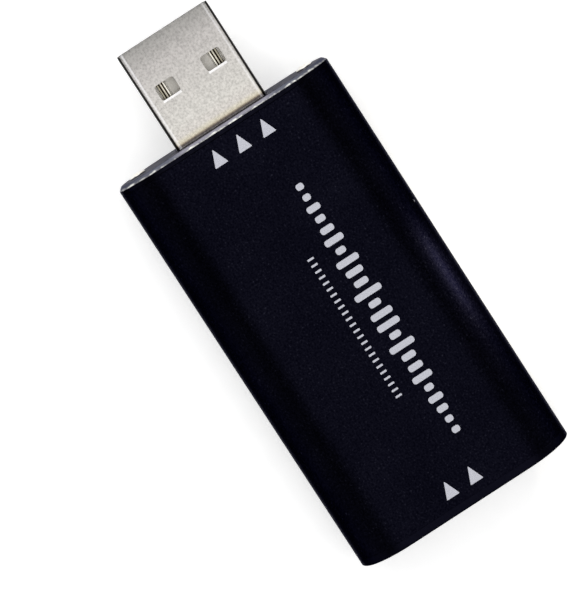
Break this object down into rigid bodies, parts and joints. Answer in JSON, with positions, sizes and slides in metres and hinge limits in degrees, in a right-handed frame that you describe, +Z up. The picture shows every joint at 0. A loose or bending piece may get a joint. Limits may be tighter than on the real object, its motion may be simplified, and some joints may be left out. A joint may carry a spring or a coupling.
{
  "type": "video capture box",
  "caption": "Flat-oval metal dongle with a flat host plug at one end and a video socket at the other, which turns a video signal into a stream for a computer.",
  "frame": {"origin": "centre of the sleeve's flat underside", "axes": "+X along the sleeve towards the host plug, +Z up out of the printed face"},
  "size_m": [0.0647, 0.028, 0.012],
  "materials": {
    "black_anodised": "satin black anodised",
    "plate_black": "glossy black with a bare chamfer on the plug's plate",
    "screw_steel": "nickel plated",
    "board_laminate": "green solder mask",
    "shell_steel": "nickel plated, fine rolled grain",
    "pale_plastic": "moulded",
    "contact_gold": "gold flash",
    "black_plastic": "moulded",
    "chip_epoxy": "moulded epoxy",
    "tinned_metal": "tinned",
    "can_metal": "satin nickel",
    "tan_ceramic": "sintered",
    "dark_ceramic": "sintered"
  },
  "bodies": {
    "root": {"sleeve": "black_anodised", "output_plate": "plate_black", "input_plate": "plate_black", "output_plate_screws": "screw_steel", "input_plate_screws": "screw_steel", "circuit_board": "board_laminate", "plug_shell": "shell_steel", "socket_shell": "shell_steel", "plug_tongue": "pale_plastic", "plug_contacts": "contact_gold", "socket_upper_contacts": "contact_gold", "socket_lower_contacts": "contact_gold", "socket_insulator": "black_plastic", "crystal_base": "black_plastic", "capture_chip": "chip_epoxy", "memory_chip": "chip_epoxy", "regulators": "chip_epoxy", "surge_arrays": "chip_epoxy", "capture_chip_leads": "tinned_metal", "memory_chip_leads": "tinned_metal", "regulator_leads": "tinned_metal", "capacitor_terminals": "tinned_metal", "resistor_terminals": "tinned_metal", "bead_terminals": "tinned_metal", "crystal_can": "can_metal", "ceramic_capacitors": "tan_ceramic", "chip_resistors": "dark_ceramic", "ferrite_bead": "dark_ceramic"}
  },
  "joints": []
}
